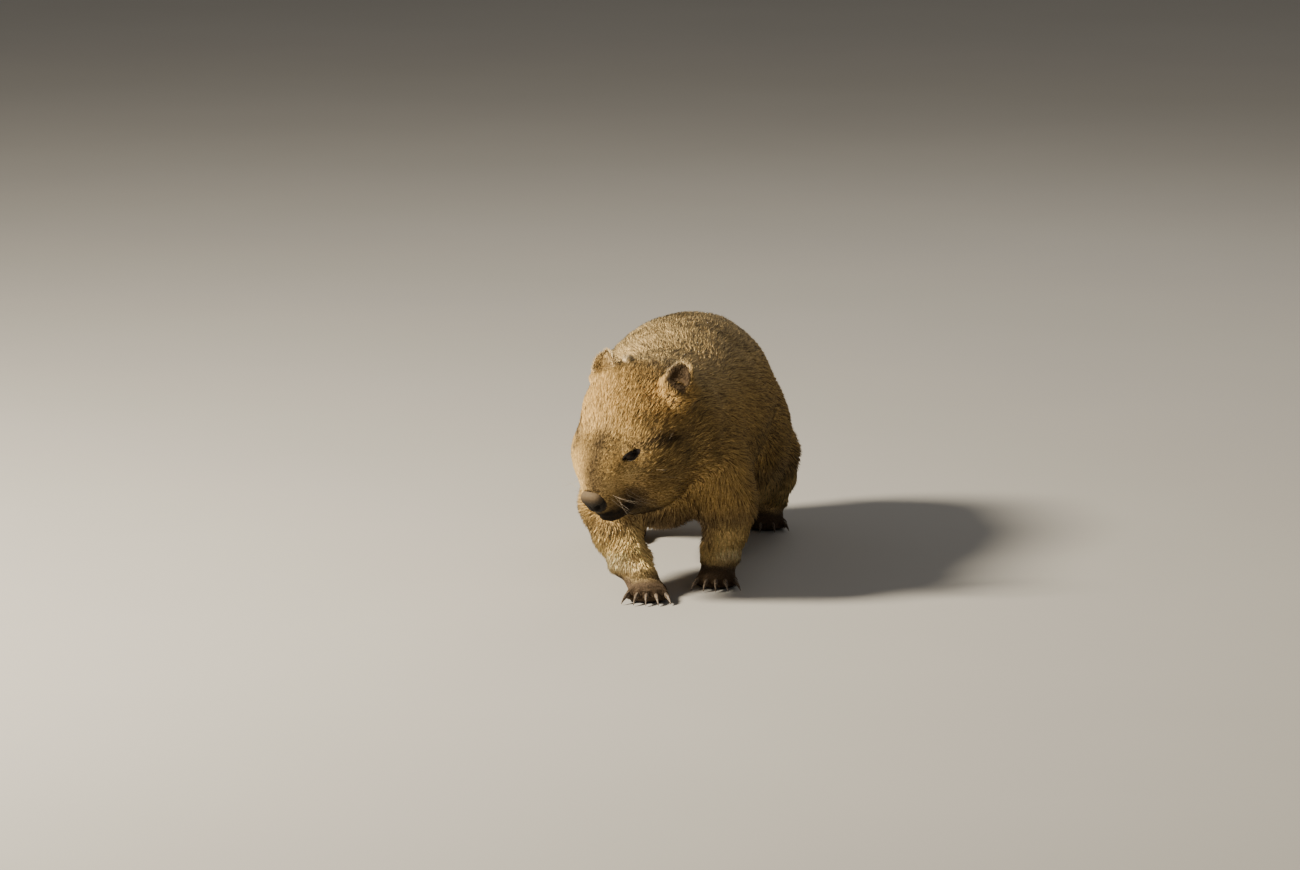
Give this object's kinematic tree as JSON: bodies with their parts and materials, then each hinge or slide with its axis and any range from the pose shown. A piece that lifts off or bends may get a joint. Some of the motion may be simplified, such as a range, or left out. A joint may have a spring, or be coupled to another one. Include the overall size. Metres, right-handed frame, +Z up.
{
  "type": "wombat",
  "caption": "Life-size bare-nosed wombat in a coarse brown coat, walking with its head lowered and turned to its right.",
  "frame": {"origin": "centre of the overall box on the floor, at the level of the soles", "axes": "+Z up, the animal faces -Y and its left side is +X"},
  "size_m": [0.2654, 0.636, 0.2948],
  "materials": {
    "coat": "coarse grizzled fur",
    "ear_coat": "short pale fur",
    "foot_coat": "short dark fur over bare soles",
    "eye": "wet and glossy",
    "nose_pad": "bare grained skin",
    "claw": "worn horn"
  },
  "bodies": {
    "root": {"trunk": "coat", "neck": "coat", "head": "coat", "tail": "coat", "foreleg_left": "coat", "foreleg_right": "coat", "hindleg_left": "coat", "hindleg_right": "coat", "ear_left": "ear_coat", "ear_right": "ear_coat", "forefoot_left": "foot_coat", "forefoot_right": "foot_coat", "hindfoot_left": "foot_coat", "hindfoot_right": "foot_coat", "eye_left": "eye", "eye_right": "eye", "nose": "nose_pad", "fore_left_claw_1": "claw", "fore_left_claw_2": "claw", "fore_left_claw_3": "claw", "fore_left_claw_4": "claw", "fore_left_claw_5": "claw", "fore_right_claw_1": "claw", "fore_right_claw_2": "claw", "fore_right_claw_3": "claw", "fore_right_claw_4": "claw", "fore_right_claw_5": "claw", "hind_left_claw_1": "claw", "hind_left_claw_2": "claw", "hind_left_claw_3": "claw", "hind_left_claw_4": "claw", "hind_right_claw_1": "claw", "hind_right_claw_2": "claw", "hind_right_claw_3": "claw", "hind_right_claw_4": "claw"}
  },
  "joints": []
}
